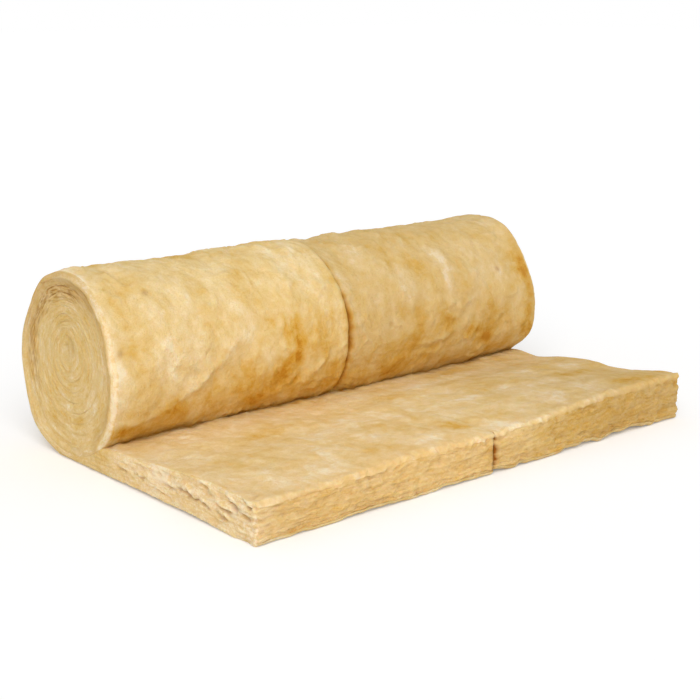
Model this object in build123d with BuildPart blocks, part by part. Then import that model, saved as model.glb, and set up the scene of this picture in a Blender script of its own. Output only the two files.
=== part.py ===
"""Glass-wool insulation roll, partly unrolled: two mats lie side by side, wound together into one roll.

Each mat is one soft strip. Its free end lies flat in front, swollen back to nearly its full thickness,
and the rest is wound tight behind it, so that the turns show as a spiral on the ends of the roll.
Units are millimetres. +X runs along the roll, +Y away from the free end, +Z up, with the floor at Z = 0.
"""

import math
import os

from build123d import *

# Driving dimensions
MAT_WIDTH = 600.0  # one mat, measured along the roll
SEAM_GAP = 0.4  # parting between the two mats
ROLL_HEIGHT = 392.0  # floor to the top of the roll
ROLL_SAG = 6.0  # how far the roll's own weight flattens its underside
TOP_PITCH = 14.0  # one wound turn above the eye, squeezed tight
BOTTOM_PITCH = 22.0  # the same turn below the eye, beginning to relax
EYE_SIZE = 24.0  # the wind stops where a turn would be smaller than this
FLAP_REACH = 627.0  # roll's upright centre line to the cut end of the mat
FLAP_THICKNESS = 90.0  # at the cut end
FLAP_CROWN = 9.0  # how far the flap's top bulges over a straight line
NIP_HEIGHT = 57.0  # where the flap's top comes out from under the roll

# Soft corners of the section, and the softened edges of the mat's two sides
NIP_ROUND = 5.0
CUT_TOP_ROUND = 20.0
CUT_BOTTOM_ROUND = 12.0
FOOT_ROUND = 40.0
SIDE_BEVEL = 8.0

# The parting between turns, as it shows on the ends of the roll
TURN_GAP = 3.0
TURN_GAP_DEPTH = 6.0

# The section is drawn about the roll's upright centre line. The outermost half turn, at the back, is one
# arc from the floor to the top, and the next one comes down the front to the nip. Angles start at the back.
TOP_ANGLE = 90.0
BOTTOM_ANGLE = 270.0
HALF_TURN = 180.0
back_radius = (ROLL_HEIGHT + ROLL_SAG) / 2
back_centre = ROLL_HEIGHT - back_radius
front_radius = back_radius - BOTTOM_PITCH / 2
front_centre = ROLL_HEIGHT - front_radius
foot_reach = math.sqrt(back_radius**2 - back_centre**2)
nip_reach = math.sqrt(front_radius**2 - (front_centre - NIP_HEIGHT) ** 2)
nip_angle = HALF_TURN + math.degrees(math.atan2(front_centre - NIP_HEIGHT, nip_reach))

# The origin is on the floor, in the middle of the ground that the object covers.
roll_line = (FLAP_REACH - back_radius) / 2


def section_plane(place):
    """The plane of a mat's section at this place along the roll, on the roll's upright centre line."""
    return Plane((place, roll_line, 0), x_dir=(0, 1, 0), z_dir=(1, 0, 0))


def spiral_arcs():
    """(centre height, radius, start angle, sweep) of the arcs between turns, from the nip to the eye.

    Every half turn is an arc about a point of the centre line and meets the next one on that line, so the
    spiral runs on smoothly while its turns are thinner above the eye than below it.
    """
    arcs = [(front_centre, front_radius, nip_angle, BOTTOM_ANGLE - nip_angle)]
    top = ROLL_HEIGHT - TOP_PITCH
    bottom = front_centre - front_radius
    while top - bottom > EYE_SIZE:
        rising = len(arcs) % 2 == 1
        start = BOTTOM_ANGLE if rising else TOP_ANGLE
        arcs.append(((top + bottom) / 2, (top - bottom) / 2, start, HALF_TURN))
        if rising:
            bottom += BOTTOM_PITCH
        else:
            top -= TOP_PITCH
    return arcs


def build_mat(outward):
    """One mat, from the parting to its end of the roll, which is outward along X (1) or against it (-1)."""
    top = (0, ROLL_HEIGHT)
    foot = (foot_reach, 0)
    nip = (-nip_reach, NIP_HEIGHT)
    cut_top = (-FLAP_REACH, FLAP_THICKNESS)
    cut_bottom = (-FLAP_REACH, 0)
    crown = ((nip[0] + cut_top[0]) / 2, (nip[1] + cut_top[1]) / 2 + FLAP_CROWN)
    corners = {nip: NIP_ROUND, cut_top: CUT_TOP_ROUND, cut_bottom: CUT_BOTTOM_ROUND, foot: FOOT_ROUND}
    seam_side = outward * SEAM_GAP / 2
    roll_end = seam_side + outward * MAT_WIDTH

    with BuildPart() as mat:
        # The section: the roll, the nip and the flap, flat where the mat meets the floor
        with BuildSketch(section_plane(seam_side)) as section:
            with BuildLine():
                ThreePointArc(foot, (back_radius, back_centre), top)
                ThreePointArc(top, (-front_radius, front_centre), nip)
                ThreePointArc(nip, crown, cut_top)
                Polyline(cut_top, cut_bottom, foot)
            make_face()
            for corner, radius in corners.items():
                fillet(section.vertices().sort_by_distance(corner)[0], radius)
        extrude(amount=outward * MAT_WIDTH)
        chamfer(mat.faces().filter_by(Axis.X).edges(), SIDE_BEVEL)

        # The parting between the turns, a narrow band along the spiral, shows on the end of the roll.
        with BuildSketch(section_plane(roll_end)):
            with BuildLine():
                for centre, radius, start, sweep in spiral_arcs():
                    CenterArc((0, centre), radius, start, sweep)
            trace(line_width=TURN_GAP)
        extrude(amount=-outward * TURN_GAP_DEPTH, mode=Mode.SUBTRACT)
    return mat.part


os.makedirs("parts", exist_ok=True)
for name, outward in (("left_mat", -1), ("right_mat", 1)):
    part = build_mat(outward)
    part.label = name
    export_step(part, f"parts/{name}.step")
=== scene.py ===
"""Glass-wool insulation roll, partly unrolled: the looks of its two mats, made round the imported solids."""

import math
import random

import bmesh
import bpy
import numpy as np
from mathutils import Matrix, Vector, kdtree, noise


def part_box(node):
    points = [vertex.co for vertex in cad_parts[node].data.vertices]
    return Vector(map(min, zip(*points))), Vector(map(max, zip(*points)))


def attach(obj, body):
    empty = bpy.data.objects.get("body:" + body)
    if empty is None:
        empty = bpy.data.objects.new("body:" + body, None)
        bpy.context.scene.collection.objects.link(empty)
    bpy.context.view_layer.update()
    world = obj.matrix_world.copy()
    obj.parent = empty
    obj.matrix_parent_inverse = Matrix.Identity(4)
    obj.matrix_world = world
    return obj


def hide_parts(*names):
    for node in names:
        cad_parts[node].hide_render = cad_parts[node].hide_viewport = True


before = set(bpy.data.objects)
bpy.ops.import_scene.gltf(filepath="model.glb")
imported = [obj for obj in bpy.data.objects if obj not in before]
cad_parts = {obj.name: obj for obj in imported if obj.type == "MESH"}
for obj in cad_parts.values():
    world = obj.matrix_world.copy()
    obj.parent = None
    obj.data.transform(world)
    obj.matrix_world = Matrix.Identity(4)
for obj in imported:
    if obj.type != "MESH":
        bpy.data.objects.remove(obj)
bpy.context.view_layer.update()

# Sizes of the section, in metres, as the solids have them
ROLL_SAG = 0.006
TOP_PITCH = 0.014
BOTTOM_PITCH = 0.022
EYE_SIZE = 0.024
FLAP_REACH = 0.627
FLAP_THICKNESS = 0.090
FLAP_CROWN = 0.009
NIP_HEIGHT = 0.057
NIP_FRONT = 0.128
CUT_TOP_ROUND = 0.010
CUT_BOTTOM_ROUND = 0.008
TOP_ANGLE = math.radians(90)
BOTTOM_ANGLE = math.radians(270)
BACK_END_ANGLE = math.radians(450)

# Where the solids lie
low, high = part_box("left_mat")
ROLL_TOP = high.z
ROLL_LINE = low.y + FLAP_REACH
ROLL_MIDDLE = (ROLL_TOP - ROLL_SAG) / 2
MAT_WIDTH = high.x - low.x
SEAM = -high.x

# How finely each mat is divided
TURN_LAYERS = 10
FLAP_SPLIT = 4
FLAP_LAYERS = FLAP_SPLIT * TURN_LAYERS
HALF_TURN_STEPS = 120
NIP_STEPS = 36
FLAP_STEPS = 118
CORNER_STEPS = 6
SKIN_STEP = 0.0048
SEAM_STEPS = (0.0, 0.001, 0.0025, 0.005, 0.009, 0.014, 0.02)

# Soft edges: the rim of the roll's end, the groove between turns, and the crease between the mats
RIM = 0.012
GROOVE = 0.0016
GROOVE_WIDTH = 0.004
SEAM_ROUND = 0.011
SLIT = 0.0009
FLAP_RIM = 0.003
CORNER_ROUND = 0.008
SHARP_ANGLE = math.radians(65)

# Thickness of the flap at its cut end, at places along the roll
FLAP_PLACES = (-0.60, -0.30, -0.001, 0.001, 0.19, 0.33, 0.45, 0.60)
FLAP_HEIGHTS = (0.084, 0.085, 0.0893, 0.0897, 0.096, 0.106, 0.106, 0.103)

# Rise of the roll's top, at places along the roll
TOP_PLACES = (-0.60, -0.57, -0.52, -0.46, -0.40, -0.35, -0.28, -0.19, -0.06, -0.015,
              0.015, 0.05, 0.08, 0.12, 0.30, 0.38, 0.47, 0.55, 0.59)
TOP_RISES = (0.005, 0.003, 0.0, 0.004, 0.006, 0.004, -0.001, 0.003, 0.003, 0.001,
             -0.005, -0.009, -0.006, 0.001, 0.0, -0.005, 0.001, 0.001, 0.008)

# Folds in the roll's skin: from (x, way up the roll from the nip) to another such place, width, depth
FOLDS = (
    ((-0.285, 0.208), (-0.478, 0.092), 0.006, 0.0030),
    ((-0.290, 0.212), (-0.330, 0.185), 0.005, 0.0030),
    ((-0.355, 0.170), (-0.440, 0.105), 0.005, 0.0030),
    ((-0.175, 0.235), (-0.160, 0.150), 0.009, 0.0030),
    ((-0.115, 0.095), (-0.085, 0.125), 0.006, 0.0035),
    ((-0.590, 0.075), (-0.500, 0.085), 0.010, 0.0040),
    ((-0.400, 0.330), (-0.445, 0.200), 0.016, 0.0030),
    ((-0.240, 0.180), (-0.215, 0.110), 0.009, 0.0025),
    ((0.250, 0.115), (0.360, 0.155), 0.008, 0.0045),
    ((0.370, 0.100), (0.395, 0.130), 0.007, 0.0050),
    ((0.545, 0.240), (0.560, 0.120), 0.012, 0.0050),
    ((0.300, 0.200), (0.330, 0.330), 0.016, 0.0030),
    ((0.130, 0.330), (0.190, 0.220), 0.016, 0.0030),
    ((0.470, 0.150), (0.500, 0.260), 0.012, 0.0030),
)

# Ochre stains, (x, way, half width, half height, strength); the way is from the nip, minus on the flap
STAINS = (
    (-0.160, 0.178, 0.018, 0.050, 1.2),
    (-0.187, 0.120, 0.030, 0.030, 0.55),
    (-0.150, 0.085, 0.050, 0.030, 0.5),
    (-0.178, 0.229, 0.008, 0.030, 0.6),
    (-0.217, 0.241, 0.010, 0.030, 0.4),
    (-0.241, 0.281, 0.030, 0.030, 0.3),
    (-0.365, 0.333, 0.040, 0.030, 0.3),
    (-0.458, 0.078, 0.050, 0.022, 0.6),
    (-0.533, 0.150, 0.040, 0.025, 0.35),
    (-0.572, 0.050, 0.040, 0.026, 0.9),
    (-0.533, 0.239, 0.030, 0.035, 0.2),
    (-0.293, 0.115, 0.030, 0.040, 0.4),
    (-0.248, 0.060, 0.060, 0.030, 0.45),
    (-0.370, 0.040, 0.080, 0.022, 0.35),
    (-0.080, 0.050, 0.060, 0.025, 0.4),
    (-0.562, 0.351, 0.020, 0.040, 0.25),
    (0.295, 0.161, 0.020, 0.040, 0.6),
    (0.386, 0.118, 0.020, 0.022, 0.9),
    (0.440, 0.088, 0.025, 0.025, 0.7),
    (0.548, 0.227, 0.020, 0.030, 0.6),
    (0.574, 0.255, 0.020, 0.045, 1.0),
    (0.562, 0.150, 0.018, 0.036, 0.9),
    (0.572, 0.100, 0.018, 0.030, 0.7),
    (0.580, 0.310, 0.018, 0.060, 0.6),
    (0.576, 0.190, 0.018, 0.050, 0.8),
    (0.157, 0.050, 0.050, 0.026, 0.6),
    (0.163, 0.105, 0.030, 0.030, 0.4),
    (0.254, 0.078, 0.060, 0.030, 0.45),
    (0.344, 0.046, 0.060, 0.024, 0.45),
    (0.480, 0.046, 0.060, 0.020, 0.45),
    (0.144, 0.328, 0.030, 0.030, 0.4),
    (0.316, 0.398, 0.050, 0.030, 0.4),
    (0.234, 0.292, 0.026, 0.035, 0.4),
    (-0.330, -0.178, 0.055, 0.030, 0.6),
    (-0.040, -0.425, 0.030, 0.030, 0.8),
    (-0.170, -0.325, 0.070, 0.020, 0.4),
    (-0.260, -0.420, 0.040, 0.026, 0.4),
    (-0.139, -0.015, 0.090, 0.025, 0.4),
    (0.190, -0.282, 0.026, 0.028, 0.8),
    (-0.436, -0.290, 0.060, 0.022, 0.3),
    (0.463, -0.251, 0.024, 0.028, 0.8),
    (0.460, -0.318, 0.055, 0.022, 0.6),
    (0.455, -0.465, 0.030, 0.020, 0.6),
    (0.400, -0.060, 0.150, 0.030, 0.4),
)

# Pale patches, in the same terms
PALES = (
    (-0.407, 0.258, 0.030, 0.090, 0.8),
    (-0.294, 0.213, 0.016, 0.020, 0.8),
    (-0.485, 0.250, 0.032, 0.050, 1.0),
    (0.300, 0.290, 0.040, 0.050, 0.6),
    (-0.333, 0.298, 0.030, 0.040, 0.6),
    (-0.150, 0.300, 0.070, 0.060, 0.2),
    (-0.590, 0.250, 0.013, 0.230, 1.4),
    (0.207, 0.364, 0.030, 0.040, 0.5),
    (0.191, 0.255, 0.030, 0.050, 0.5),
    (0.325, 0.194, 0.014, 0.050, 0.6),
    (0.014, 0.250, 0.010, 0.170, 1.0),
    (-0.434, -0.427, 0.130, 0.060, 0.8),
    (-0.110, -0.460, 0.050, 0.030, 0.7),
    (-0.116, -0.107, 0.060, 0.030, 0.5),
    (0.068, -0.368, 0.050, 0.050, 0.6),
    (0.376, -0.227, 0.060, 0.040, 0.6),
    (0.050, -0.480, 0.040, 0.030, 1.0),
    (0.349, -0.448, 0.060, 0.030, 0.5),
)

# Golden patches, in the same terms
GOLDS = (
    (-0.110, 0.180, 0.050, 0.060, 1.3),
    (-0.060, 0.080, 0.060, 0.050, 1.0),
    (-0.230, 0.105, 0.110, 0.060, 0.7),
    (-0.420, 0.085, 0.080, 0.035, 0.5),
    (0.190, 0.150, 0.060, 0.050, 0.9),
    (0.430, 0.120, 0.050, 0.050, 1.3),
    (0.330, 0.130, 0.060, 0.050, 0.6),
    (0.560, 0.180, 0.035, 0.120, 0.8),
)

# Dark specks, in the same terms
SPECKS = (
    (-0.483, 0.341, 0.006, 0.006, 0.8),
    (-0.575, 0.227, 0.005, 0.006, 0.7),
    (0.491, 0.262, 0.005, 0.006, 0.9),
    (0.120, 0.180, 0.005, 0.005, 0.5),
    (-0.350, 0.620, 0.006, 0.006, 0.6),
    (0.270, 0.560, 0.006, 0.006, 0.7),
)

# Torn pockets in the flap's side, (y, z, half length, half height, depth), for each mat
SIDE_TEARS = {
    -1: (
        (-0.205, 0.045, 0.040, 0.0060, 0.013),
        (-0.150, 0.042, 0.022, 0.0045, 0.008),
        (-0.262, 0.074, 0.016, 0.0045, 0.009),
        (-0.261, 0.037, 0.016, 0.0050, 0.011),
        (-0.318, 0.048, 0.026, 0.0045, 0.010),
        (-0.345, 0.066, 0.017, 0.0065, 0.013),
        (-0.390, 0.079, 0.015, 0.0065, 0.014),
        (-0.316, 0.029, 0.017, 0.0060, 0.013),
        (-0.381, 0.053, 0.015, 0.0045, 0.010),
        (0.020, 0.034, 0.020, 0.0045, 0.008),
        (-0.050, 0.038, 0.024, 0.0045, 0.007),
        (-0.114, 0.023, 0.016, 0.0040, 0.007),
    ),
    1: (
        (-0.352, 0.048, 0.030, 0.0050, 0.010),
        (-0.385, 0.078, 0.014, 0.0050, 0.011),
        (-0.390, 0.028, 0.016, 0.0045, 0.009),
        (-0.300, 0.072, 0.018, 0.0040, 0.008),
        (-0.245, 0.033, 0.026, 0.0045, 0.009),
        (-0.205, 0.060, 0.016, 0.0040, 0.007),
        (-0.135, 0.040, 0.030, 0.0045, 0.008),
        (-0.070, 0.055, 0.014, 0.0040, 0.006),
        (-0.020, 0.032, 0.022, 0.0040, 0.007),
    ),
}

# Softer stains over the top and the back of the roll, at random within these spans
BACK_STAIN_COUNT = 34
BACK_STAIN_SPANS = ((-0.6, 0.6), (0.47, 1.02), (0.02, 0.06), (0.02, 0.05), (0.2, 0.7))
chance = random.Random(11)
BACK_STAINS = tuple(
    tuple(chance.uniform(*span) for span in BACK_STAIN_SPANS)
    for _ in range(BACK_STAIN_COUNT)
)


# How far apart the noise of one seed lies from the next
SEED_STEP = 7.31


def smooth_step(value, start, end):
    """0 before start, 1 after end, and smooth between them."""
    share = np.clip((value - start) / (end - start), 0, 1)
    return share * share * (3 - 2 * share)


def fade(value, start, end):
    """1 before start, 0 after end, and smooth between them."""
    return 1 - smooth_step(value, start, end)


def soft_noise(points, size, seed, octaves=3):
    """Cloudy noise of about -1 to 1 at these points, its clouds of this size in metres."""
    place = np.asarray(points) / np.asarray(size) + SEED_STEP * seed
    return np.array([noise.fractal(p, 1.0, 2.0, octaves) for p in place.tolist()])


def bell(value, middle, width):
    """1 at the middle, falling off smoothly to both sides."""
    return np.exp(-(((value - middle) / width) ** 2))


def round_drop(distance, radius):
    """How far a rounded edge lies below the face that it ends, at this distance from the edge."""
    share = np.clip(distance / radius, 0, 1)
    return radius * (1 - np.sqrt(1 - (1 - share) ** 2))


# The section, as (y, z) from the roll's upright centre line at the floor

def turn_arc(turn, front, angles):
    """The parting outside this turn on one half of the roll, flat where it meets the floor."""
    top = ROLL_TOP - TOP_PITCH * turn
    bottom = BOTTOM_PITCH * (turn + front) - ROLL_SAG
    centre, radius = (top + bottom) / 2, (top - bottom) / 2
    arc = np.stack([radius * np.cos(angles), centre + radius * np.sin(angles)], -1)
    arc[:, 1] = np.maximum(arc[:, 1], 0)
    return arc


def flap_top(y, nip_y):
    """Height of the flap's top, from the nip to the cut end."""
    share = (nip_y - y) / (nip_y + FLAP_REACH)
    return NIP_HEIGHT + (FLAP_THICKNESS - NIP_HEIGHT) * share + 4 * FLAP_CROWN * share * (1 - share)


def layer_shares(count):
    """Places through the mat's thickness, from its outer face (0) to its inner face (1), closer at both."""
    step = np.linspace(0, 1, count + 1)
    return 0.5 * step + 0.25 * (1 - np.cos(math.pi * step))


def between(outer, inner, layers):
    """Grid of section points from the outer line of a stretch of mat to its inner line."""
    return outer[:, None] + (inner - outer)[:, None] * layer_shares(layers)[None, :, None]


def mat_section():
    """The flap and each half turn of a mat as grids of section points, and the flap's row at the nip."""
    front_radius = (ROLL_TOP - BOTTOM_PITCH + ROLL_SAG) / 2
    front_centre = ROLL_TOP - front_radius
    nip_y = -math.sqrt(front_radius**2 - (front_centre - NIP_HEIGHT) ** 2)
    nip_angle = math.pi + math.atan2(front_centre - NIP_HEIGHT, -nip_y)
    down = np.linspace(TOP_ANGLE, nip_angle, HALF_TURN_STEPS - NIP_STEPS + 1)
    under = np.linspace(nip_angle, BOTTOM_ANGLE, NIP_STEPS + 1)[1:]
    front_angles = np.concatenate([down, under])
    back_angles = np.linspace(BOTTOM_ANGLE, BACK_END_ANGLE, HALF_TURN_STEPS + 1)

    corner = CUT_TOP_ROUND * (1 - np.cos(np.linspace(0, math.pi / 2, CORNER_STEPS + 1)))
    flat = np.linspace(corner[-1], nip_y + FLAP_REACH, FLAP_STEPS + 1)[1:]
    from_cut = np.concatenate([corner, flat])
    y = from_cut - FLAP_REACH
    top = np.stack([y, flap_top(y, nip_y) - round_drop(from_cut, CUT_TOP_ROUND)], -1)
    top = np.concatenate([top, turn_arc(0, 1, under)])
    lift = np.concatenate([round_drop(from_cut, CUT_BOTTOM_ROUND), np.zeros(NIP_STEPS)])
    flap = between(np.stack([top[:, 0], lift], -1), top, FLAP_LAYERS)

    half_turns = []
    turn, front = 0, 0
    while True:
        angles = front_angles if front else back_angles
        inner = turn_arc(turn + 1, front, angles)
        if np.ptp(inner[:, 1]) < EYE_SIZE:
            return flap, half_turns, len(from_cut) - 1
        half_turns.append(between(turn_arc(turn, front, angles), inner, TURN_LAYERS))
        turn += front
        front = 1 - front


def way_along(line):
    """Length along a line up to each of its points."""
    steps = np.linalg.norm(np.diff(line, axis=0), axis=1)
    return np.concatenate([[0], np.cumsum(steps)])


def section_outline(flap, half_turns, nip_row):
    """Closed line round the section, and each point's way from the nip, minus on the flap."""
    down = HALF_TURN_STEPS - NIP_STEPS
    stretches = (
        flap[:, 0],
        half_turns[0][1:, 0],
        half_turns[1][1 : down + 1, 0],
        flap[nip_row - 1 :: -1, -1],
        flap[0, -2:0:-1],
    )
    line = np.concatenate(stretches)
    nip_index = sum(len(stretch) for stretch in stretches[:3]) - 1
    length = way_along(line)
    return line, length[nip_index] - length


def outward_normals(line):
    """Unit normals of a closed line that runs with its inside on the left."""
    along = np.roll(line, -1, 0) - np.roll(line, 1, 0)
    normal = np.stack([along[:, 1], -along[:, 0]], -1)
    return normal / np.linalg.norm(normal, axis=1, keepdims=True)


# What a face or point belongs to: the skin, the cut end, the flap's side or the roll's end
SKIN, CUT, SIDE, END = range(4)


class Grids:
    """Grids of points with named values. Neighbours make faces, and points that meet are one."""

    WIDTHS = {"normal": 2, "way": 1, "deep": 1, "share": 1, "turn": 1, "grain": 3, "kind": 1}

    def __init__(self):
        self.points = []
        self.values = {name: [] for name in self.WIDTHS}
        self.faces = []
        self.kinds = []
        self.count = 0

    def add(self, points, kind, closed=False, **values):
        """Adds a grid, closed to a ring along its rows if asked, and returns the numbers of its points."""
        shape = points.shape[:2]
        self.points.append(points.reshape(-1, 3))
        values["kind"] = np.array(kind)
        for name, width in self.WIDTHS.items():
            value = np.asarray(values.get(name, 0.0), float)
            full = np.broadcast_to(value, shape + (width,) * (width > 1))
            self.values[name].append(full.reshape(-1, width))
        index = self.count + np.arange(shape[0] * shape[1]).reshape(shape)
        ring = np.concatenate([index, index[:1]]) if closed else index
        quads = np.stack([ring[:-1, :-1], ring[1:, :-1], ring[1:, 1:], ring[:-1, 1:]], -1)
        self.add_faces(quads.reshape(-1, 4), kind)
        self.count += shape[0] * shape[1]
        return index

    def add_faces(self, faces, kind):
        """Adds faces of this kind between points that are there."""
        self.faces.extend(faces.tolist())
        self.kinds.extend([kind] * len(faces))

    def merged(self):
        """Points and their values with doubles merged, and the number of each grid point among them."""
        points = np.concatenate(self.points)
        _, first, number = np.unique(np.round(points, 6), axis=0, return_index=True, return_inverse=True)
        values = {name: np.concatenate(rows) for name, rows in self.values.items()}
        kept = {name: rows[first].squeeze() for name, rows in values.items()}
        return points[first], kept, number.ravel(), values["grain"]


def at_place(section, x):
    """Section points put at this place along the roll, in the shared frame."""
    return np.stack([np.full(section.shape[:-1], x), section[..., 0] + ROLL_LINE, section[..., 1]], -1)


def join_layers(grids, many, few):
    """Fans of triangles between the flap's last row and the first turn's, which has fewer layers."""
    for step in range(FLAP_SPLIT):
        near = few[:-1] if step < FLAP_SPLIT // 2 else few[1:]
        start = many[step:FLAP_LAYERS:FLAP_SPLIT]
        end = many[step + 1 :: FLAP_SPLIT]
        grids.add_faces(np.stack([start, near, end], -1), SIDE)
    middle = many[FLAP_SPLIT // 2 :: FLAP_SPLIT]
    grids.add_faces(np.stack([middle, few[:-1], few[1:]], -1), SIDE)


def add_end(grids, section, x):
    """The face across the outer end of a mat: the side of its flap and its turns."""
    flap, half_turns, nip_row = section
    flap = flap[:-1]
    below = np.arange(len(flap))[:, None] > nip_row
    share = np.where(below, layer_shares(FLAP_LAYERS), 0.5)
    grain = np.concatenate([flap, np.zeros(flap.shape[:2] + (1,))], -1)
    flap_index = grids.add(at_place(flap, x), SIDE, share=share, turn=-1, grain=grain)

    share = layer_shares(TURN_LAYERS)
    length = 0.0
    turns = []
    for number, half in enumerate(half_turns):
        middle = half[:, TURN_LAYERS // 2]
        along = length + way_along(middle)
        length = along[-1]
        across = (number // 2 + share) * (TOP_PITCH + BOTTOM_PITCH) / 2
        grain = np.stack(np.broadcast_arrays(along[:, None], across[None], np.ones((1, 1))), -1)
        index = grids.add(at_place(half, x), END, share=share, turn=number // 2, grain=grain)
        if number == 0:
            join_layers(grids, flap_index[-1], index[0])
        turns.append(index)
    last, before = turns[-1], turns[-2]
    eye = np.concatenate([last[:, -1], last[-1, -2:0:-1], before[:-1, -1]])
    grids.add_faces(eye[None], END)


def mat_grids(outward):
    """The skin and the outer end of one mat, before it gets its soft shape."""
    section = mat_section()
    line, way = section_outline(*section)
    end = MAT_WIDTH - RIM
    plain = np.linspace(SEAM_STEPS[-1], end, round((end - SEAM_STEPS[-1]) / SKIN_STEP) + 1)
    deep = np.concatenate([SEAM_STEPS, plain[1:]])
    skin = np.repeat(at_place(line, 0)[:, None], len(deep), axis=1)
    skin[..., 0] = outward * (SEAM + deep)
    grids = Grids()
    grain = np.stack(np.broadcast_arrays(skin[..., 0], way[:, None], np.zeros((1, 1))), -1)
    normal = np.broadcast_to(outward_normals(line)[:, None], skin.shape[:2] + (2,))
    index = grids.add(skin, SKIN, closed=True, normal=normal, way=way[:, None], deep=deep, grain=grain)
    first_cut_row = len(line) - FLAP_LAYERS
    columns = len(deep) - 1
    grids.kinds[first_cut_row * columns :] = [CUT] * (FLAP_LAYERS * columns)
    grids.add_faces(index[None, :, 0], SIDE)
    add_end(grids, section, skin[0, -1, 0])
    return grids, line


# The soft shape, as moves of the points

# Heights and depths of the soft relief, in metres
END_FUZZ = 0.0016
END_SINK = 0.004
SIDE_LAYER = 0.010
SIDE_RELIEF = 0.0018
SIDE_RELIEF_AT_CUT = 0.0022
SIDE_CRUMBS = 0.0013
SIDE_UNDERCUT = 0.006
CUT_LAYER = 0.009
CUT_RELIEF = 0.0024
CUT_TUFTS = 0.0022
CUT_FRAY = 0.0030
CUT_UNDERCUT = {-1: 0.007, 1: 0.010}
SEAM_DEPTH = 0.0025
LOW_SEAM_DEPTH = 0.008
NIP_SEAM_DEPTH = 0.008
SLIT_DEPTH = 0.006
SEAM_WANDER = 0.0016
LUMP = 0.0030
SMALL_LUMP = 0.0020
CREASE = 0.0035
FOLD_BEND = 0.010
SPOT_BEND = 0.014

# The same for the uneven shape of the whole roll, and the share by which the flap dips
BACK_BULGE = 0.031
BACK_DENT = 0.015
ROLL_LUMP = 0.006
SMALL_ROLL_LUMP = 0.003
RIGHT_BULGE = 0.008
RIGHT_DENT = 0.014
FLAP_WAVE = 0.006
SMALL_FLAP_WAVE = 0.0025
FLAP_DIP = 0.14
NIP_WAVE = 0.004
SMALL_NIP_WAVE = 0.003
NIP_RISE = 0.005

# How far in front of the roll's line each mat's side starts to be flat and torn, and is so fully
SIDE_START = {-1: 0.10, 1: 0.05}
SIDE_FULL = 0.22

# How far the painted shade of the crease, a brown line, fades into each mat
SEAM_FADE = {-1: 0.005, 1: 0.0045}

# Seeds of the noise that both mats share, so that they meet along the crease
SHARED_SEEDS = {"roll": 20, "flap": 24, "nip": 28, "seam": 40, "seam_wander": 41, "bands": 42}

# Seeds of the noise that each mat has for itself, counted from the mat's own
OWN_SEEDS = {
    "groove": 2, "side_layers": 3, "fuzz": 6, "dashes": 7, "slit": 8, "cut_layers": 9,
    "lumps": 12, "small_lumps": 13, "undercut": 14, "spot_x": 15, "spot_way": 16, "fold_x": 17,
    "fold_way": 18, "end_lumps": 19, "crumbs": 30, "tears": 31, "ring_tone": 33, "fray": 34,
    "wander": 35, "crumpled": 36, "tufts": 38,
}


def flap_swell(points):
    """The flap is thicker at one corner than at another."""
    out = ROLL_LINE - points[:, 1]
    flap_share = smooth_step(out, 0.12, FLAP_REACH)
    height = np.interp(points[:, 0], FLAP_PLACES, FLAP_HEIGHTS) / FLAP_THICKNESS
    points[:, 2] *= 1 + (height - 1) * flap_share
    dip = smooth_step(points[:, 0], 0.40, 0.60) * bell(out, 0.45, 0.085)
    points[:, 2] *= 1 - FLAP_DIP * dip


def roll_sag(points):
    """The back of the roll is flatter high up and bulges low down, and its top rises and falls."""
    y = points[:, 1] - ROLL_LINE
    height = (points[:, 2] - ROLL_MIDDLE) / ROLL_MIDDLE
    push = BACK_BULGE * bell(height, -0.84, 0.25) - BACK_DENT * bell(height, 0.62, 0.32)
    points[:, 1] += push * np.clip(y / 0.16, 0, 1)
    rise = np.interp(points[:, 0], TOP_PLACES, TOP_RISES)
    points[:, 2] += rise * smooth_step(points[:, 2] - ROLL_MIDDLE, 0.05, 0.18)


def roll_lumps(points, seed):
    """Soft lumps and dents of the whole roll, none where it lies on the floor or on the flap."""
    y, z = points[:, 1] - ROLL_LINE, points[:, 2] - ROLL_MIDDLE
    radius = np.hypot(y, z) + 1e-9
    skin = np.stack([points[:, 0], ROLL_MIDDLE * y / radius, ROLL_MIDDLE * z / radius], -1)
    lump = ROLL_LUMP * soft_noise(skin, 0.20, seed, 2)
    lump += SMALL_ROLL_LUMP * soft_noise(skin, 0.07, seed + 1, 2)
    free = smooth_step(points[:, 2], 0.05, 0.13) * smooth_step(y, -0.26, -0.18)
    free *= (radius / ROLL_MIDDLE) ** 2
    low_bulge = RIGHT_BULGE * bell(points[:, 2], 0.11, 0.06)
    high_dent = RIGHT_DENT * bell(points[:, 2], 0.31, 0.06)
    lump += (low_bulge - high_dent) * smooth_step(points[:, 0], 0.35, 0.60) * (y < 0)
    points[:, 1] += lump * free * y / radius
    points[:, 2] += lump * free * z / radius


def flap_lumps(points, seed):
    """Soft waves of the flap's top, none at the nip or on the floor."""
    out = smooth_step(ROLL_LINE - points[:, 1], 0.13, 0.22)
    flat = points * (1, 1, 0)
    wave = FLAP_WAVE * soft_noise(flat, (0.22, 0.16, 1), seed, 2)
    wave += SMALL_FLAP_WAVE * soft_noise(flat, 0.05, seed + 1, 2)
    points[:, 2] += wave * out * smooth_step(points[:, 2], 0.0, FLAP_THICKNESS)


def nip_waves(points, seed):
    """The line where the roll lies on the flap runs up and down a little."""
    gap = np.hypot(points[:, 1] - ROLL_LINE + NIP_FRONT, points[:, 2] - NIP_HEIGHT)
    along = points * (1, 0, 0)
    wave = NIP_WAVE * soft_noise(along, 0.05, seed, 3)
    wave += SMALL_NIP_WAVE * soft_noise(along, 0.022, seed + 1, 2)
    wave += NIP_RISE * (smooth_step(points[:, 0], -0.55, -0.40) + smooth_step(points[:, 0], 0.40, 0.60))
    points[:, 2] += wave * bell(gap, 0.0, 0.04)


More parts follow.
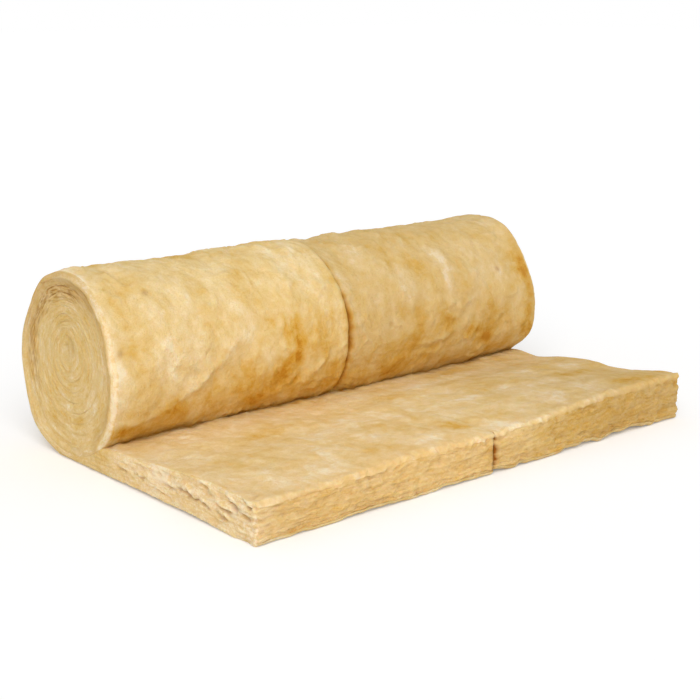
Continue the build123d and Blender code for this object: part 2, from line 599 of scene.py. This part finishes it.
def fold_push(x, way, folds):
    """Height of the skin's folds, low ridges with one side a little lower, and how near they are."""
    push = np.zeros(len(x))
    ridge = np.zeros(len(x))
    for start, end, width, depth in folds:
        line = np.subtract(end, start)
        size = np.linalg.norm(line)
        dx, dw = x - start[0], way - start[1]
        share = np.clip((dx * line[0] + dw * line[1]) / size**2, 0, 1)
        side = (dx * line[1] - dw * line[0]) / size / width
        gap = np.hypot(dx - share * line[0], dw - share * line[1]) / width
        near = np.exp(-0.5 * gap**2)
        push += depth * (0.25 * np.clip(side, -1, 1) + 0.6) * near
        ridge = np.maximum(ridge, near**3)
    return push, ridge


def spots(x, way, places):
    """How strongly a point of the skin lies in these patches."""
    total = np.zeros(len(x))
    for place_x, place_way, half_width, half_height, strength in places:
        gap = ((x - place_x) / half_width) ** 2 + ((way - place_way) / half_height) ** 2
        total = np.maximum(total, strength * np.exp(-0.7 * gap))
    return total


def outline_distance(points, line):
    """Distance of points of the end face to the section's outline."""
    count = 12
    steps = [line + (np.roll(line, -1, 0) - line) * part / count for part in range(count)]
    dense = np.concatenate(steps)
    tree = kdtree.KDTree(len(dense))
    for number, (y, z) in enumerate(dense):
        tree.insert((0, y + ROLL_LINE, z), number)
    tree.balance()
    return np.array([tree.find((0, y, z))[2] for _, y, z in points])


def strata(along, across, thickness, seed):
    """Depth of torn layers, each standing in or out by itself, in parts of about -1 to 1."""
    flat = np.stack([along, across, np.zeros(len(along))], -1)
    wave = across + 0.010 * soft_noise(flat, (0.12, 0.05, 1), seed, 2)
    layer = wave / thickness + 0.25 * soft_noise(flat, (0.03, 0.02, 1), seed + 1, 2)
    number = np.floor(layer)
    inside = layer - number
    own = np.stack([along, number * 0.37, np.zeros(len(along))], -1)
    stand = soft_noise(own, (0.07, 0.05, 1), seed + 2, 3)
    return 1.2 * stand - 0.5 * (2 * inside - 1) ** 4


def tears(ends, places, seed):
    """Depth of the torn pockets in the flap's side, and height of the lip above each."""
    pocket = np.zeros(len(ends))
    lip = np.zeros(len(ends))
    frayed = soft_noise(ends, 0.016, seed, 3)
    for place_y, place_z, half_length, half_height, depth in places:
        along = (ends[:, 1] - place_y) / half_length
        up = (ends[:, 2] - place_z) / half_height - 0.4 * np.sin(2.2 * along) + 1.3 * frayed
        pocket = np.maximum(pocket, depth * fade(along**2 + up**2, 0.1, 1.4))
        lip = np.maximum(lip, 0.4 * depth * np.exp(-((up - 1.9) ** 2) - along**2))
    return pocket, lip


class SoftMat:
    """The points of one mat on their way into its soft shape, and how its wool looks at each of them."""

    def __init__(self, points, value, outward, seed):
        self.points = points
        self.outward = outward
        self.seed = seed
        self.base = points.copy()
        self.x, self.y, self.z = self.base.T
        self.way, self.deep = value["way"], value["deep"]
        self.skin = value["kind"] == SKIN
        self.face = ~self.skin
        self.normal = np.zeros_like(points)
        self.normal[:, 1:] = np.where(self.skin[:, None], value["normal"], 0)
        self.hollow, self.stain, self.pale = np.zeros((3, len(points)))
        self.find_places()
        self.crumbs = self.noise("crumbs", 0.012)

    def own_seed(self, name):
        return self.seed + OWN_SEEDS[name]

    def noise(self, name, size, octaves=3, stretch=(1, 1, 1), points=None):
        """This mat's own noise of this name, at all its points or at others."""
        points = self.base if points is None else points
        return soft_noise(points * np.array(stretch), size, self.own_seed(name), octaves)

    def find_places(self):
        """How far each point belongs to the side, the cut end, the roll and the flap, mostly 0 to 1."""
        skin, way = self.skin, self.way
        self.from_cut = self.y - ROLL_LINE + FLAP_REACH
        self.by_cut = fade(self.from_cut, 0.02, 0.16)
        self.from_end = MAT_WIDTH - RIM - self.deep
        self.by_end = np.where(skin, fade(self.from_end, 0, 0.03), 1.0)
        self.on_side = smooth_step(ROLL_LINE - self.y, SIDE_START[self.outward], SIDE_FULL)
        edge_way = -way[skin & (self.from_cut < 1e-6) & (way < 0)].max()
        self.past_edge = -way - edge_way
        skin_on_cut = smooth_step(self.past_edge, -0.010, 0.004)
        self.on_cut = np.where(skin, skin_on_cut, fade(self.from_cut, 0, 0.025))
        self.on_roll = smooth_step(way, 0.0, 0.01)
        self.on_flap = smooth_step(-way, 0.0, 0.10) * skin
        self.off_floor = smooth_step(self.z, 0.0, 0.012)

    def shape_end(self, value, line):
        """The outer end: a round rim on the roll, a sharper one on the flap, grooves between the turns."""
        face, outward = self.face, self.outward
        reach = np.where(self.skin, fade(self.from_end, 0, 0.08), 1.0)
        self.points[:, 0] += outward * (RIM - FLAP_RIM) * self.on_side * reach
        ends = self.base[face]
        share, turn, grain, kind = (value[name][face] for name in ("share", "turn", "grain", "kind"))
        of_side = kind == SIDE
        rim_gap = outline_distance(ends, line)
        pitch = BOTTOM_PITCH + (TOP_PITCH - BOTTOM_PITCH) * ends[:, 2] / ROLL_TOP
        groove = round_drop(np.minimum(share, 1 - share) * pitch, GROOVE_WIDTH) / GROOVE_WIDTH
        faint = np.clip(0.5 + 1.4 * self.noise("groove", 0.04, points=ends), 0, 1.5)
        groove *= faint * ~(of_side & (share == 0.5))
        groove *= (turn > 0) | (share > 0.5)
        fuzz = END_FUZZ * self.noise("fuzz", (0.05, 0.005, 1), points=grain)
        fuzz += END_FUZZ * self.noise("end_lumps", 0.03, 2, points=ends)
        sunk = END_SINK * smooth_step(turn + share, 0.8, 1.6) * ~of_side
        inside = smooth_step(rim_gap, 0.0, 0.012)
        rise = RIM - np.maximum(round_drop(rim_gap, RIM), GROOVE * groove) + (fuzz - sunk) * inside
        flat = self.on_side[face] * of_side
        flat_rise = FLAP_RIM - round_drop(rim_gap, FLAP_RIM)
        self.points[face, 0] += outward * (rise * (1 - flat) + flat_rise * flat)
        # Painted shade in the grooves between the turns.
        self.hollow[face] = 0.32 * groove * ~of_side
        self.shade_turns(ends, turn + share, rim_gap, grain, ~of_side)
        by_corner = fade(self.from_cut[face], 0.0, 0.05)
        self.pale[face] += (1.25 - 0.35 * by_corner) * flat

    def shade_turns(self, ends, ring, rim_gap, grain, of_turns):
        """Gaps between the outer turns and dark dashes high on the roll's end, with the outer turns there
        darker; a painted shadow band just behind the rim in front; a pale rim in front, a painted highlight;
        and a faint tone along the rings.
        """
        face = self.face
        turned = np.arctan2(ends[:, 2] - ROLL_MIDDLE, ends[:, 1] - ROLL_LINE)
        dashes = np.clip(0.35 + 1.5 * self.noise("dashes", (0.016, 0.004, 1), 2, points=grain), 0, 1)
        band = smooth_step(ring, 1.2, 2.2) * fade(ring, 3.2, 4.4)
        band *= smooth_step(turned, -0.8, 0.0) * fade(turned, 1.6, 2.2)
        upper = smooth_step(turned, -0.3, 0.7) * fade(turned, 1.9, 2.6)
        upper *= fade(ring, 1.5, 5.0)
        self.hollow[face] += (1.1 * band * dashes + 0.35 * upper) * of_turns
        front = smooth_step(ROLL_LINE - ends[:, 1], -0.05, 0.10)
        behind_rim = smooth_step(rim_gap, 0.010, 0.018) * fade(rim_gap, 0.02, 0.05)
        # Painted shadow: a darker band just behind the rim in front.
        self.hollow[face] += 0.35 * front * of_turns * behind_rim
        # Painted highlight: the rim in front is pale.
        self.pale[face] = 1.5 * front * fade(rim_gap, 0.005, 0.015) * of_turns
        inside = smooth_step(rim_gap, 0.0, 0.012)
        self.pale[face] += 1.5 * self.noise("ring_tone", (0.07, 0.012, 1), points=grain) * inside * of_turns

    def tear_side(self):
        """Torn layers, crumbs and pockets on the flap's side."""
        pocket, lip = tears(self.base, SIDE_TEARS[self.outward], self.own_seed("tears"))
        torn = strata(self.y, self.z, SIDE_LAYER, self.own_seed("side_layers"))
        crumbs = self.crumbs
        by_side = self.on_side * self.by_end
        push = torn * (SIDE_RELIEF + SIDE_RELIEF_AT_CUT * self.by_cut) + SIDE_CRUMBS * crumbs
        push += lip - 0.6 * pocket
        self.points[:, 0] += self.outward * push * by_side
        # Painted shade in the sunk torn layers, the crumbs' hollows and the pockets; the lip above each
        # pocket is pale, a painted highlight.
        shade = 0.20 * np.clip(-torn, 0, 1) + 0.2 * np.clip(-crumbs - 0.15, 0, 1)
        self.hollow += (shade + pocket / 0.019) * by_side
        self.pale += (lip / 0.006 + 0.3 * crumbs) * by_side

    def part_seam(self):
        """The crease between the mats: deep on the roll, shut on the flap, a ragged slit at the cut end,
        both darkened with painted shade.
        """
        skin, way, deep, on_roll = self.skin, self.way, self.deep, self.on_roll
        across = self.base * (0, 1, 1)
        at_slit = smooth_step(self.past_edge, -0.008, 0.004) * fade(deep, 0.0, 0.05) * skin
        low_seam = fade(way, 0.10, 0.40)
        shut = bell(way, 0.46, 0.07)
        uneven = np.clip(1 + 0.9 * soft_noise(across, 0.03, SHARED_SEEDS["seam"], 2), 0.6, 1.7)
        uneven *= 1 - 0.8 * shut
        crease = (SEAM_DEPTH + LOW_SEAM_DEPTH * low_seam) * uneven + NIP_SEAM_DEPTH * np.exp(-way / 0.02)
        crease = on_roll * crease + SLIT_DEPTH * at_slit
        self.points += self.normal * (-crease * np.clip(1 - deep / SEAM_ROUND, 0, 1) ** 2.4)[:, None]
        wander = SEAM_WANDER * soft_noise(across, 0.04, SHARED_SEEDS["seam_wander"], 3)
        self.points[:, 0] += wander * on_roll * np.exp(-deep / 0.03) * skin
        ragged = np.clip(0.8 + 2.4 * self.noise("slit", 0.011, 2, (0, 0, 1)), 0.0, 2.6)
        self.points[:, 0] += self.outward * SLIT * ragged * at_slit * fade(deep, 0.0, 0.03)
        # Painted shade, brown, in the crease and the slit, and a warm painted shade beside the crease,
        # strongest low on the roll.
        by_seam = np.exp(-deep / SEAM_FADE[self.outward]) * skin
        self.hollow += by_seam * (0.35 + 0.75 * low_seam) * uneven * on_roll
        self.hollow += 1.1 * at_slit * ragged * np.exp(-deep / 0.005)
        self.stain += np.exp(-deep / 0.008) * skin * (0.3 + 0.9 * low_seam) * uneven * on_roll

    def crumple_skin(self):
        """Folds, lumps and crumpled ridges of the skin, and where the folds' ridges are."""
        skin, off_cut = self.skin, 1 - self.on_cut
        from_ends = smooth_step(self.from_end, 0, 0.02) * smooth_step(self.deep, 0, 0.02)
        lumps = LUMP * self.noise("lumps", 0.060, 2) + SMALL_LUMP * self.noise("small_lumps", 0.022, 2)
        fold_x = self.x + FOLD_BEND * self.noise("fold_x", 0.04, 2)
        fold_way = self.way + FOLD_BEND * self.noise("fold_way", 0.04, 2)
        folds, self.ridge = fold_push(fold_x, fold_way, FOLDS)
        wander = np.abs(self.noise("wander", 0.10, stretch=(1, 1, 1.4)))
        crumpled = smooth_step(self.noise("crumpled", 0.12), -0.10, 0.25)
        creases = fade(wander, 0.0, 0.13) * crumpled * off_cut
        calm = 1 - 0.6 * self.on_flap
        lumps = (lumps + folds + CREASE * creases) * calm
        self.points += self.normal * (lumps * off_cut * from_ends * skin * self.off_floor)[:, None]
        # The raised crumpled creases are painted paler: a painted highlight.
        self.pale += 0.35 * creases * skin * calm

    def tear_cut(self):
        """Torn layers and tufts on the cut end."""
        skin, on_cut, past_edge = self.skin, self.on_cut, self.past_edge
        torn = strata(self.x, self.z, CUT_LAYER, self.own_seed("cut_layers"))
        tufts = self.crumbs + 0.9 * self.noise("tufts", 0.03, 2)
        on_edge = np.where(skin, smooth_step(past_edge, -0.028, -0.006), on_cut)
        ragged_top = 1 + 0.5 * smooth_step(self.z, 0.065, 0.085)
        push = CUT_RELIEF * torn * on_cut + CUT_TUFTS * ragged_top * tufts * on_edge
        push *= self.off_floor * np.where(skin, smooth_step(self.deep, 0, 0.02), 1)
        self.points += np.where(skin[:, None], self.normal, (0, -1, 0)) * push[:, None]
        # Painted shade in the sunk layers and the crumbs' hollows of the cut end.
        self.hollow += on_cut * (0.25 * np.clip(-torn, 0, 1) + 0.35 * np.clip(-self.crumbs - 0.1, 0, 1))
        self.pale += 0.8 * tufts * on_edge * fade(past_edge, 0.004, 0.020) * skin
        self.pale += 0.6 * on_cut * skin * fade(self.from_end, 0.0, 0.07)

    def fray_edges(self):
        """The frayed top edge of the cut end, and lower edges that stand a little off the floor."""
        from_cut, z = self.from_cut, self.z
        frayed = CUT_FRAY * self.noise("fray", 0.016, stretch=(1, 1, 0))
        self.points[:, 2] += frayed * fade(from_cut, 0.0, 0.03) * smooth_step(z, 0.04, 0.075)
        uneven = np.clip(0.5 + self.noise("undercut", 0.05, stretch=(1, 0, 0)), 0, 1.2)
        lift = uneven * CUT_UNDERCUT[self.outward]
        lift *= fade(from_cut, 0.0, 0.04) * smooth_step(MAT_WIDTH - np.abs(self.x), 0.0, 0.12)
        lift += SIDE_UNDERCUT * self.by_end * self.on_side * smooth_step(from_cut, 0.05, 0.20)
        self.points[:, 2] += lift * fade(z, 0.0, 0.04)

    def round_corner(self):
        """Rounds the upright corner between the flap's side and its cut end."""
        inset = np.where(self.skin, self.from_end + FLAP_RIM, 0)
        gap = np.stack([inset, self.from_cut], -1) - CORNER_ROUND
        length = np.linalg.norm(gap, axis=1)
        near = (gap < 0).all(1) & (length > CORNER_ROUND)
        move = np.where(near, CORNER_ROUND / np.maximum(length, 1e-9) - 1, 0)[:, None] * gap
        self.points[:, 0] -= self.outward * move[:, 0]
        self.points[:, 1] += move[:, 1]

    def settle(self):
        """The uneven shape of the whole roll, which both mats share."""
        flap_swell(self.points)
        roll_sag(self.points)
        roll_lumps(self.points, SHARED_SEEDS["roll"])
        flap_lumps(self.points, SHARED_SEEDS["flap"])
        nip_waves(self.points, SHARED_SEEDS["nip"])
        self.points[:, 2] = np.maximum(self.points[:, 2], 0)

    def looks(self):
        """How the wool looks at each point: painted shade and dark marks, stains with warm painted shade,
        paleness with painted highlights and painted shade, dust with painted shade, and painted light.
        """
        skin, x, way, on_cut = self.skin, self.x, self.way, self.on_cut
        bend_x = SPOT_BEND * self.noise("spot_x", 0.05)
        spot_x, spot_way = x + bend_x, way + SPOT_BEND * self.noise("spot_way", 0.05)
        rightward = smooth_step(x, -0.1, 0.2)
        # The lower roll and the line where the roll lies on the flap get painted shade.
        low_roll = fade(way, 0.03, 0.19) * (way > 0)
        nip = np.exp(-np.abs(way + 0.3 * bend_x) / np.where(way > 0, 0.017, 0.008))
        # Painted shade at the nip, and dark specks.
        hollow = np.maximum(self.hollow, (0.32 * nip + spots(x, way, SPECKS)) * skin)
        stain = np.maximum(self.stain, spots(spot_x, spot_way, STAINS + BACK_STAINS) * skin)
        # Warm painted shade low on the roll and at the nip, put in with the stains.
        stain = np.maximum(stain, skin * np.maximum(0.20 * low_roll, 0.75 * nip))

        # Pale patches, and the folds' ridges painted paler: a painted highlight.
        pale = np.maximum(self.pale, (spots(spot_x, spot_way, PALES) + 0.7 * self.ridge) * skin)
        # The lower roll painted darker: painted shade; the golden patches darker too.
        roll_pale = -0.75 * low_roll - spots(spot_x, spot_way, GOLDS)
        # The left flap is painted paler and the right of the cut end darker: partly the mats' own tone,
        # partly painted light, the left lit more than the right.
        left_flap_pale = 0.25 * (x < 0) * (1 - 0.5 * on_cut)
        pale += np.where(way > 0, roll_pale, left_flap_pale) * skin
        pale -= 0.6 * on_cut * skin * smooth_step(x, 0.02, 0.20)
        flat = np.stack([spot_x, spot_way, 0 * x], -1)
        bands = soft_noise(flat, (0.20, 0.065, 1), SHARED_SEEDS["bands"], 2)
        pale += (0.6 + 0.6 * rightward) * bands * self.on_flap * (1 - on_cut)

        # The roll's ends are mixed towards a duller colour; the right mat more, so it is darker than the
        # left: partly dust, partly painted shade.
        dust_and_shade = 0.14 * self.face * (1 - self.on_side)
        if self.outward > 0:
            flap_dust_and_shade = (0.30 + 0.12 * on_cut) * smooth_step(x, 0.0, 0.4)
            dust_and_shade += np.where(way > 0, 0.30 - 0.20 * low_roll, flap_dust_and_shade) * skin + 0.25 * self.face
        # Painted light: a warm brightening of the flap's top, most near the cut end, and of the flap's
        # sides, fading to the right.
        painted_light = np.where(skin, self.on_flap * (0.34 + 0.12 * self.by_cut), 0.34 * self.on_side)
        painted_light *= 1 - 0.7 * rightward
        return {"hollow": hollow, "stain": stain, "pale": pale, "dust_and_shade": dust_and_shade, "painted_light": painted_light}


def shape_mat(points, value, line, outward, seed):
    """Moves the points of a mat into its soft shape, and returns how its wool looks there."""
    mat = SoftMat(points, value, outward, seed)
    mat.shape_end(value, line)
    mat.tear_side()
    mat.part_seam()
    mat.crumple_skin()
    mat.tear_cut()
    mat.fray_edges()
    mat.round_corner()
    mat.settle()
    return mat.looks()


# Materials

def colour(red, green, blue):
    """Linear colour from one that is written as it shows on a screen, 0 to 255."""
    def linear(part):
        part /= 255
        return part / 12.92 if part <= 0.04045 else ((part + 0.055) / 1.055) ** 2.4
    return (linear(red), linear(green), linear(blue), 1)


# Numbers of the mix node's sockets for colours
MIX_FIRST, MIX_SECOND, MIX_RESULT = 6, 7, 2


class Nodes:
    """The node tree of a material or a world, with short calls for its nodes."""

    def __init__(self, owner):
        owner.use_nodes = True
        self.tree = owner.node_tree
        self.tree.nodes.clear()

    def node(self, kind, inputs=(), **settings):
        made = self.tree.nodes.new(kind)
        for name, setting in settings.items():
            setattr(made, name, setting)
        for name, value in dict(inputs).items():
            if isinstance(value, bpy.types.NodeSocket):
                self.tree.links.new(value, made.inputs[name])
            else:
                made.inputs[name].default_value = value
        return made

    def attribute(self, name, output="Fac"):
        return self.node("ShaderNodeAttribute", attribute_name=name).outputs[output]

    def noise(self, scale, detail=4.0, roughness=0.55, distortion=0.0, vector=None):
        """Noise by the place on the piece, or by another vector."""
        inputs = {
            "Vector": vector or self.node("ShaderNodeTexCoord").outputs["Object"],
            "Scale": scale,
            "Detail": detail,
            "Roughness": roughness,
            "Distortion": distortion,
        }
        return self.node("ShaderNodeTexNoise", inputs).outputs["Fac"]

    def patches(self, value, low, high):
        inputs = {"Value": value, "From Min": low, "From Max": high}
        return self.node("ShaderNodeMapRange", inputs, interpolation_type="SMOOTHSTEP").outputs["Result"]

    def grain(self, along, across):
        """The way along the wool's layers and across them, drawn out by these scales."""
        inputs = {"Vector": self.attribute("grain", "Vector"), "Scale": (along, across, 1.0)}
        return self.node("ShaderNodeMapping", inputs).outputs["Vector"]

    def math(self, operation, first, second=0.0, third=0.0):
        made = self.node("ShaderNodeMath", {0: first, 1: second, 2: third}, operation=operation)
        return made.outputs[0]

    def weighed(self, start, parts):
        """start plus each (value, weight), values of 0.5 counting as nothing."""
        total = start
        for value, weight in parts:
            offset = self.math("SUBTRACT", value, 0.5)
            total = self.math("MULTIPLY_ADD", offset, weight, total)
        return total

    def mix(self, share, first, second, blend="MIX"):
        inputs = {0: share, MIX_FIRST: first, MIX_SECOND: second}
        made = self.node("ShaderNodeMix", inputs, data_type="RGBA", blend_type=blend)
        return made.outputs[MIX_RESULT]

    def ramp(self, value, stops):
        made = self.node("ShaderNodeValToRGB", {"Fac": value})
        elements = made.color_ramp.elements
        while len(elements) < len(stops):
            elements.new(1.0)
        for element, (place, stop) in zip(elements, stops):
            element.position = place
            element.color = stop
        return made.outputs["Color"]


# Tones of the wool from stained to pale, and the colours that tint it: a warm tint of painted light, a dull
# colour for dust and painted shade, and two colours of painted shade, one for the skin and the cut, one for
# the ends
WOOL_TONES = (
    (0.00, colour(200, 136, 38)),
    (0.15, colour(216, 163, 66)),
    (0.35, colour(225, 183, 102)),
    (0.52, colour(231, 197, 131)),
    (0.68, colour(236, 206, 147)),
    (0.85, colour(242, 216, 166)),
    (1.00, colour(250, 232, 196)),
)
PAINTED_LIGHT_TINT = (1.15, 1.0, 0.90, 1)
DUST_AND_SHADE_COLOUR = colour(176, 138, 76)
SHADED = colour(152, 88, 28)
END_SHADED = colour(170, 118, 52)

# How much full stain and its painted shade, full paleness and its painted highlights, and full painted shade
# move the tone
STAIN_AND_SHADE_WEIGHT = -0.55
PALE_WEIGHT = 0.20
PAINTED_SHADE_WEIGHT = 0.6


def wool(name, start, shaded, tone_parts, bump_parts):
    """Glass wool: tone_parts and bump_parts give what weighs in its tone and in its relief."""
    material = bpy.data.materials.new(name)
    nodes = Nodes(material)
    tone = nodes.weighed(start, tone_parts(nodes))
    broken = nodes.math("MULTIPLY_ADD", nodes.noise(38.0, 5.0, 0.62, 0.6), 1.7, 0.15)
    stain = nodes.math("MULTIPLY", nodes.attribute("stain"), broken)
    tone = nodes.math("MULTIPLY_ADD", stain, STAIN_AND_SHADE_WEIGHT, tone)
    tone = nodes.math("MULTIPLY_ADD", nodes.attribute("pale"), PALE_WEIGHT, tone)
    # Dust and painted shade: a mix towards a dull colour.
    shown = nodes.mix(nodes.attribute("dust_and_shade"), nodes.ramp(tone, WOOL_TONES), DUST_AND_SHADE_COLOUR)
    # Painted light: a warm brightening, multiplied in.
    shown = nodes.mix(nodes.attribute("painted_light"), shown, PAINTED_LIGHT_TINT, "MULTIPLY")
    # Painted shade in grooves, creases, gaps and pockets, and dark marks: a mix towards the shade colour.
    shown = nodes.mix(nodes.math("MULTIPLY", nodes.attribute("hollow"), PAINTED_SHADE_WEIGHT), shown, shaded)
    normal = None
    for height, distance in bump_parts(nodes):
        inputs = {"Height": height, "Distance": distance, "Strength": 1.0}
        if normal:
            inputs["Normal"] = normal
        normal = nodes.node("ShaderNodeBump", inputs).outputs["Normal"]
    shader = nodes.node("ShaderNodeBsdfPrincipled", {
        "Base Color": shown,
        "Roughness": 0.95,
        "Specular IOR Level": 0.03,
        "Subsurface Weight": 0.25,
        "Subsurface Radius": (1.0, 0.55, 0.2),
        "Subsurface Scale": 0.02,
        "Normal": normal,
    })
    nodes.node("ShaderNodeOutputMaterial", {"Surface": shader.outputs["BSDF"]})
    return material


def skin_tones(nodes):
    streaks = nodes.noise(15.0, 8.0, 0.6, 0.8, nodes.grain(1.0, 0.6))
    return (
        (nodes.noise(6.0, 3.0), 0.45),
        (nodes.patches(streaks, 0.32, 0.68), 0.30),
        (nodes.patches(nodes.noise(48.0, 7.0, 0.62, 0.4), 0.30, 0.70), 0.20),
        (nodes.noise(330.0, 4.0, 0.7), 0.30),
    )


def skin_bumps(nodes):
    return (
        (nodes.noise(60.0, 8.0, 0.62), 0.005),
        (nodes.noise(300.0, 6.0, 0.72), 0.0026),
    )


def layer_tones(nodes):
    layers = nodes.noise(1.0, 6.0, 0.62, 1.2, nodes.grain(28.0, 65.0))
    return (
        (nodes.noise(14.0, 4.0), 0.45),
        (nodes.patches(layers, 0.32, 0.68), 0.25),
        (nodes.noise(1.0, 5.0, 0.68, 1.0, nodes.grain(110.0, 270.0)), 0.45),
        (nodes.noise(300.0, 5.0, 0.75), 0.55),
    )


def layer_bumps(nodes):
    return (
        (nodes.noise(1.0, 6.0, 0.65, 1.0, nodes.grain(50.0, 120.0)), 0.0035),
        (nodes.noise(180.0, 6.0, 0.72, 0.6), 0.0040),
    )


def ring_tones(nodes):
    return (
        (nodes.noise(14.0, 4.0), 0.80),
        (nodes.noise(1.0, 5.0, 0.62, 1.0, nodes.grain(28.0, 75.0)), 0.80),
        (nodes.noise(1.0, 5.0, 0.66, 0.6, nodes.grain(70.0, 280.0)), 0.60),
        (nodes.noise(210.0, 6.0, 0.75), 0.95),
    )


def ring_bumps(nodes):
    return (
        (nodes.noise(1.0, 5.0, 0.64, 0.6, nodes.grain(36.0, 170.0)), 0.0030),
        (nodes.noise(190.0, 6.0, 0.72, 0.6), 0.0030),
    )


materials = (
    wool("wool_skin", 0.66, SHADED, skin_tones, skin_bumps),
    wool("wool_cut", 0.54, SHADED, layer_tones, layer_bumps),
    wool("wool_end", 0.58, END_SHADED, ring_tones, ring_bumps),
)


# The mats

def make_mesh(name, points, faces, kinds, grain, values):
    """Mesh with a material for each kind of face, grain at its corners and values at its points."""
    mesh = bpy.data.meshes.new(name)
    mesh.from_pydata(points.tolist(), [], faces)
    for material in materials:
        mesh.materials.append(material)
    mesh.polygons.foreach_set("material_index", np.minimum(kinds, SIDE))
    corner = mesh.attributes.new("grain", "FLOAT_VECTOR", "CORNER")
    corner.data.foreach_set("vector", grain.ravel())
    for value_name, value in values.items():
        point = mesh.attributes.new(value_name, "FLOAT", "POINT")
        point.data.foreach_set("value", value.astype(np.float32))
    shape = bmesh.new()
    shape.from_mesh(mesh)
    many_sided = [face for face in shape.faces if len(face.verts) > 4]
    bmesh.ops.triangulate(shape, faces=many_sided, ngon_method="EAR_CLIP")
    bmesh.ops.recalc_face_normals(shape, faces=shape.faces)
    for face in shape.faces:
        face.smooth = True
    for edge in shape.edges:
        if edge.calc_face_angle(0) > SHARP_ANGLE:
            edge.smooth = False
    shape.to_mesh(mesh)
    shape.free()
    return mesh


def make_mat(node, outward, seed):
    """One mat, standing for its solid."""
    grids, line = mat_grids(outward)
    points, value, number, grain = grids.merged()
    values = shape_mat(points, value, line, outward, seed)
    corners = np.concatenate([np.array(face) for face in grids.faces])
    faces = [[int(number[corner]) for corner in face] for face in grids.faces]
    mesh = make_mesh(node + "_wool", points, faces, grids.kinds, grain[corners], values)
    mat = bpy.data.objects.new(node + "_wool", mesh)
    bpy.context.scene.collection.objects.link(mat)
    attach(mat, "root")
    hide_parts(node)


make_mat("left_mat", outward=-1, seed=100)
make_mat("right_mat", outward=1, seed=200)


# The stage: a pale floor, soft light from the front and above, and the photograph's viewing angle

FLOOR_SIZE = 60.0
FLOOR_COLOUR = (0.90, 0.90, 0.90, 1)
FLOOR_GLOW = 0.14
SUN_DIRECTION = (0.47, 0.62, -0.62)
SUN_STRENGTH = 2.1
SUN_SOFTNESS = math.radians(50)
SKY_STRENGTH = 0.55
CAMERA_PLACE = (-1.998, -2.2776, 0.9395)
CAMERA_AZIMUTH = math.radians(-40.88)
CAMERA_ELEVATION = math.radians(14.08)
IMAGE_WIDTH = 700
FOCAL_PIXELS = 1427.6
SENSOR_WIDTH = 36.0


def make_floor():
    """A wide floor that looks a little brighter than it is lit, and keeps the shadow."""
    mesh = bpy.data.meshes.new("floor")
    half = FLOOR_SIZE / 2
    corners = [(-half, -half, 0), (half, -half, 0), (half, half, 0), (-half, half, 0)]
    mesh.from_pydata(corners, [], [(0, 1, 2, 3)])
    floor = bpy.data.objects.new("floor", mesh)
    bpy.context.scene.collection.objects.link(floor)
    material = bpy.data.materials.new("floor_paper")
    nodes = Nodes(material)
    path = nodes.node("ShaderNodeLightPath")
    paper = nodes.node("ShaderNodeBsdfDiffuse", {"Color": FLOOR_COLOUR})
    seen = nodes.math("MULTIPLY", path.outputs["Is Camera Ray"], FLOOR_GLOW)
    glow = nodes.node("ShaderNodeEmission", {"Strength": seen})
    both = nodes.node("ShaderNodeAddShader", {0: paper.outputs[0], 1: glow.outputs[0]})
    nodes.node("ShaderNodeOutputMaterial", {"Surface": both.outputs[0]})
    mesh.materials.append(material)


def make_light():
    """A broad soft sun from the front left, and a plain white sky."""
    sun = bpy.data.lights.new("sun", "SUN")
    sun.energy = SUN_STRENGTH
    sun.angle = SUN_SOFTNESS
    lamp = bpy.data.objects.new("sun", sun)
    lamp.rotation_euler = Vector(SUN_DIRECTION).to_track_quat("-Z", "Y").to_euler()
    bpy.context.scene.collection.objects.link(lamp)
    world = bpy.data.worlds.new("studio")
    nodes = Nodes(world)
    path = nodes.node("ShaderNodeLightPath")
    seen = nodes.math("MAXIMUM", path.outputs["Is Camera Ray"], path.outputs["Is Glossy Ray"])
    inputs = {"Value": seen, "To Min": SKY_STRENGTH, "To Max": 1.0}
    strength = nodes.node("ShaderNodeMapRange", inputs).outputs["Result"]
    sky = nodes.node("ShaderNodeBackground", {"Color": (1, 1, 1, 1), "Strength": strength})
    nodes.node("ShaderNodeOutputWorld", {"Surface": sky.outputs["Background"]})
    bpy.context.scene.world = world


def make_camera():
    """The photograph's point of view."""
    data = bpy.data.cameras.new("camera")
    data.sensor_width = SENSOR_WIDTH
    data.lens = SENSOR_WIDTH * FOCAL_PIXELS / IMAGE_WIDTH
    camera = bpy.data.objects.new("camera", data)
    camera.location = CAMERA_PLACE
    ahead = Vector((
        -math.sin(CAMERA_AZIMUTH) * math.cos(CAMERA_ELEVATION),
        math.cos(CAMERA_AZIMUTH) * math.cos(CAMERA_ELEVATION),
        -math.sin(CAMERA_ELEVATION),
    ))
    camera.rotation_euler = ahead.to_track_quat("-Z", "Y").to_euler()
    bpy.context.scene.collection.objects.link(camera)
    bpy.context.scene.camera = camera


make_floor()
make_light()
make_camera()
bpy.context.scene.view_settings.view_transform = "Standard"
